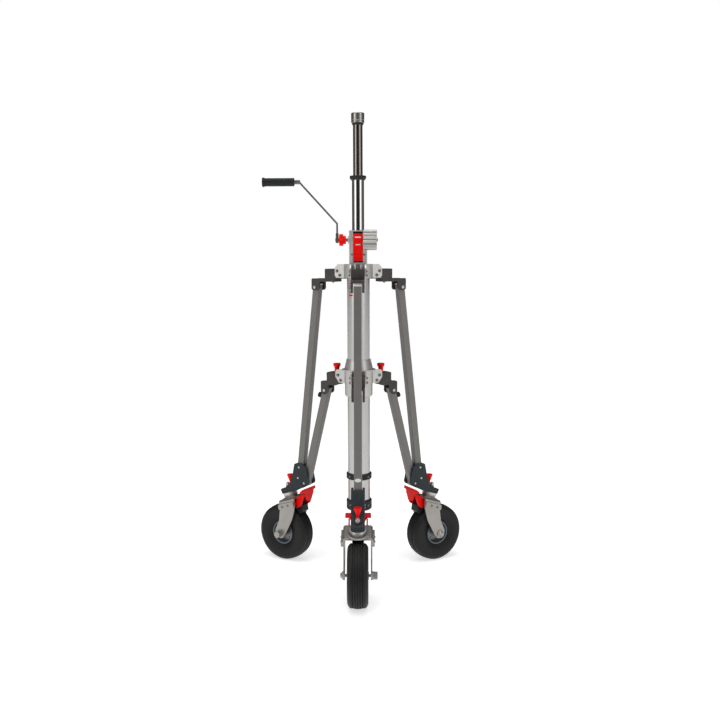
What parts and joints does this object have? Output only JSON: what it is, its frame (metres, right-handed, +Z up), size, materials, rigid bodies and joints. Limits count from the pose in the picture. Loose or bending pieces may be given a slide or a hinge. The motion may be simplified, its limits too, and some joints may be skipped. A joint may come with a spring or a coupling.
{
  "type": "drywall lift",
  "caption": "Crank-up telescoping mast stand for lifting boards: winch housing with crank, head socket, sliding collar, and three folding legs on braked casters.",
  "frame": {"origin": "middle of the footprint at floor level, in the stored pose; the mast axis stands 0.116 m behind it", "axes": "+Z up along the mast; -Y towards the single front leg; +X to the drum side, -X to the crank side"},
  "size_m": [0.9312, 0.8131, 1.994],
  "materials": {
    "satin_aluminium": "satin brushed",
    "bright_chrome": "polished",
    "dark_chrome": "polished",
    "head_grey": "satin",
    "black_plastic": "matte",
    "cast_silver": "as cast, bead blasted",
    "dark_bracket": "satin powder coat",
    "zinc_steel": "zinc plated",
    "red_plastic": "satin moulded",
    "dark_steel": "dark zinc",
    "black_rubber": "matte",
    "grey_tube": "satin grey anodised",
    "slate_cast": "textured powder coat",
    "fork_steel": "zinc plated",
    "tyre_rubber": "matte",
    "rim_grey": "satin"
  },
  "bodies": {
    "mast_base": {"outer_column": "satin_aluminium", "stop_ring": "black_plastic", "bottom_ring": "black_plastic", "leg_collar": "cast_silver", "leg_brackets": "dark_bracket", "leg_bracket_bolts": "zinc_steel", "winch_housing": "cast_silver", "housing_cover": "red_plastic", "drum_cover": "cast_silver", "pan_screws": "zinc_steel"},
    "stage_two": {"stage_two_tube": "bright_chrome", "stage_two_gland": "black_plastic"},
    "stage_three": {"stage_three_tube": "dark_chrome", "head_socket": "head_grey"},
    "crank": {"winch_shaft": "dark_steel", "crank_arm": "dark_steel"},
    "crank_grip": {"crank_grip": "black_rubber"},
    "star_knob": {"star_knob": "red_plastic"},
    "sliding_collar": {"sliding_collar": "cast_silver", "brace_brackets": "dark_bracket", "brace_bracket_bolts": "zinc_steel"},
    "leg_front": {"leg_tube_front": "grey_tube", "foot_bracket_front": "slate_cast", "foot_bolts_front": "zinc_steel", "swivel_bearing_front": "zinc_steel"},
    "brace_front": {"brace_tube_front": "grey_tube"},
    "pull_knob_front": {"pull_knob_front": "red_plastic"},
    "lock_lever_front": {"lock_lever_front": "red_plastic"},
    "caster_fork_front": {"fork_front": "fork_steel", "axle_front": "zinc_steel", "brake_body_front": "black_plastic"},
    "brake_pedal_front": {"brake_pedal_front": "red_plastic"},
    "wheel_front": {"tyre_front": "tyre_rubber", "rim_front": "rim_grey"},
    "leg_right": {"leg_tube_right": "grey_tube", "foot_bracket_right": "slate_cast", "foot_bolts_right": "zinc_steel", "swivel_bearing_right": "zinc_steel"},
    "brace_right": {"brace_tube_right": "grey_tube"},
    "pull_knob_right": {"pull_knob_right": "red_plastic"},
    "lock_lever_right": {"lock_lever_right": "red_plastic"},
    "caster_fork_right": {"fork_right": "fork_steel", "axle_right": "zinc_steel", "brake_body_right": "black_plastic"},
    "brake_pedal_right": {"brake_pedal_right": "red_plastic"},
    "wheel_right": {"tyre_right": "tyre_rubber", "rim_right": "rim_grey"},
    "leg_left": {"leg_tube_left": "grey_tube", "foot_bracket_left": "slate_cast", "foot_bolts_left": "zinc_steel", "swivel_bearing_left": "zinc_steel"},
    "brace_left": {"brace_tube_left": "grey_tube"},
    "pull_knob_left": {"pull_knob_left": "red_plastic"},
    "lock_lever_left": {"lock_lever_left": "red_plastic"},
    "caster_fork_left": {"fork_left": "fork_steel", "axle_left": "zinc_steel", "brake_body_left": "black_plastic"},
    "brake_pedal_left": {"brake_pedal_left": "red_plastic"},
    "wheel_left": {"tyre_left": "tyre_rubber", "rim_left": "rim_grey"}
  },
  "joints": [
    {"name": "crank_turn", "type": "hinge", "parent": "mast_base", "child": "crank", "pos_m": [0, 0.078, 1.466], "axis": [1, 0, 0], "range_deg": [-1332.13, 4655.28]},
    {"name": "stage_two_slide", "type": "slide", "parent": "mast_base", "child": "stage_two", "axis": [0, 0, 1], "range_m": [-0.1861, 0.6501]},
    {"name": "stage_three_slide", "type": "slide", "parent": "stage_two", "child": "stage_three", "axis": [0, 0, 1], "range_m": [-0.1861, 0.6501]},
    {"name": "crank_grip_spin", "type": "hinge", "parent": "crank", "child": "crank_grip", "pos_m": [0, 0.078, 1.707], "axis": [1, 0, 0], "continuous": true},
    {"name": "star_knob_turn", "type": "hinge", "parent": "crank", "child": "star_knob", "pos_m": [0, 0.078, 1.466], "axis": [1, 0, 0], "range_deg": [-90, 90]},
    {"name": "leg_front_hinge", "type": "hinge", "parent": "mast_base", "child": "leg_front", "pos_m": [0, -0.092, 1.263], "axis": [-1, 0, 0], "range_deg": [-2, 19]},
    {"name": "leg_right_hinge", "type": "hinge", "parent": "mast_base", "child": "leg_right", "pos_m": [0.18013, 0.22, 1.263], "axis": [0.5, -0.866, 0], "range_deg": [-2.01, 19.01]},
    {"name": "leg_left_hinge", "type": "hinge", "parent": "mast_base", "child": "leg_left", "pos_m": [-0.18013, 0.22, 1.263], "axis": [0.5, 0.866, 0], "range_deg": [-2.01, 19.01]},
    {"name": "collar_slide", "type": "slide", "parent": "mast_base", "child": "sliding_collar", "axis": [0, 0, 1], "range_m": [-0.15666, 0.01667]},
    {"name": "brace_front_hinge", "type": "hinge", "parent": "sliding_collar", "child": "brace_front", "pos_m": [0, -0.047, 0.81], "axis": [-1, 0, 0], "range_deg": [-5.09, 47.92]},
    {"name": "pull_knob_front_lift", "type": "slide", "parent": "sliding_collar", "child": "pull_knob_front", "axis": [0, 0, 1], "range_m": [0, 0.008], "stiffness_N_per_m": 500, "springref_m": -0.006},
    {"name": "brace_right_hinge", "type": "hinge", "parent": "sliding_collar", "child": "brace_right", "pos_m": [0.14116, 0.1975, 0.81], "axis": [0.5, -0.866, 0], "range_deg": [-5.09, 47.92]},
    {"name": "pull_knob_right_lift", "type": "slide", "parent": "sliding_collar", "child": "pull_knob_right", "axis": [0, 0, 1], "range_m": [0, 0.008], "stiffness_N_per_m": 500, "springref_m": -0.006},
    {"name": "brace_left_hinge", "type": "hinge", "parent": "sliding_collar", "child": "brace_left", "pos_m": [-0.14116, 0.1975, 0.81], "axis": [0.5, 0.866, 0], "range_deg": [-5.09, 47.92]},
    {"name": "pull_knob_left_lift", "type": "slide", "parent": "sliding_collar", "child": "pull_knob_left", "axis": [0, 0, 1], "range_m": [0, 0.008], "stiffness_N_per_m": 500, "springref_m": -0.006},
    {"name": "lock_lever_front_press", "type": "hinge", "parent": "leg_front", "child": "lock_lever_front", "pos_m": [0, -0.24804, 0.35998], "axis": [-1, 0, 0], "range_deg": [0, 10]},
    {"name": "caster_front_swivel", "type": "hinge", "parent": "leg_front", "child": "caster_fork_front", "pos_m": [0, -0.25256, 0.30798], "axis": [0, -0.3256, 0.9455], "continuous": true},
    {"name": "brake_pedal_front_press", "type": "hinge", "parent": "caster_fork_front", "child": "brake_pedal_front", "pos_m": [0, -0.19302, 0.26714], "axis": [-1, 0, 0], "range_deg": [0, 12]},
    {"name": "wheel_front_spin", "type": "hinge", "parent": "caster_fork_front", "child": "wheel_front", "pos_m": [0, -0.278, 0.13], "axis": [-1, 0, 0], "continuous": true},
    {"name": "lock_lever_right_press", "type": "hinge", "parent": "leg_right", "child": "lock_lever_right", "pos_m": [0.31527, 0.29802, 0.35998], "axis": [0.5, -0.866, 0], "range_deg": [0, 10]},
    {"name": "caster_right_swivel", "type": "hinge", "parent": "leg_right", "child": "caster_fork_right", "pos_m": [0.31918, 0.30028, 0.30798], "axis": [0.282, 0.1628, 0.9455], "continuous": true},
    {"name": "brake_pedal_right_press", "type": "hinge", "parent": "caster_fork_right", "child": "brake_pedal_right", "pos_m": [0.26762, 0.27051, 0.26714], "axis": [0.5, -0.866, 0], "range_deg": [0, 12]},
    {"name": "wheel_right_spin", "type": "hinge", "parent": "caster_fork_right", "child": "wheel_right", "pos_m": [0.34121, 0.313, 0.13], "axis": [0.5, -0.866, 0], "continuous": true},
    {"name": "lock_lever_left_press", "type": "hinge", "parent": "leg_left", "child": "lock_lever_left", "pos_m": [-0.31527, 0.29802, 0.35998], "axis": [0.5, 0.866, 0], "range_deg": [0, 10]},
    {"name": "caster_left_swivel", "type": "hinge", "parent": "leg_left", "child": "caster_fork_left", "pos_m": [-0.31918, 0.30028, 0.30798], "axis": [-0.282, 0.1628, 0.9455], "continuous": true},
    {"name": "brake_pedal_left_press", "type": "hinge", "parent": "caster_fork_left", "child": "brake_pedal_left", "pos_m": [-0.26762, 0.27051, 0.26714], "axis": [0.5, 0.866, 0], "range_deg": [0, 12]},
    {"name": "wheel_left_spin", "type": "hinge", "parent": "caster_fork_left", "child": "wheel_left", "pos_m": [-0.34121, 0.313, 0.13], "axis": [0.5, 0.866, 0], "continuous": true}
  ],
  "couplings": [
    {"joint": "stage_two_slide", "follows": "crank_turn", "m_per_rad": 0.008},
    {"joint": "stage_three_slide", "follows": "crank_turn", "m_per_rad": 0.008},
    {"joint": "leg_right_hinge", "follows": "leg_front_hinge", "ratio": 1},
    {"joint": "leg_left_hinge", "follows": "leg_front_hinge", "ratio": 1},
    {"joint": "collar_slide", "follows": "leg_front_hinge", "m_per_rad": -0.47183},
    {"joint": "brace_front_hinge", "follows": "leg_front_hinge", "ratio": 2.5193},
    {"joint": "brace_right_hinge", "follows": "leg_front_hinge", "ratio": 2.5193},
    {"joint": "brace_left_hinge", "follows": "leg_front_hinge", "ratio": 2.5193}
  ]
}
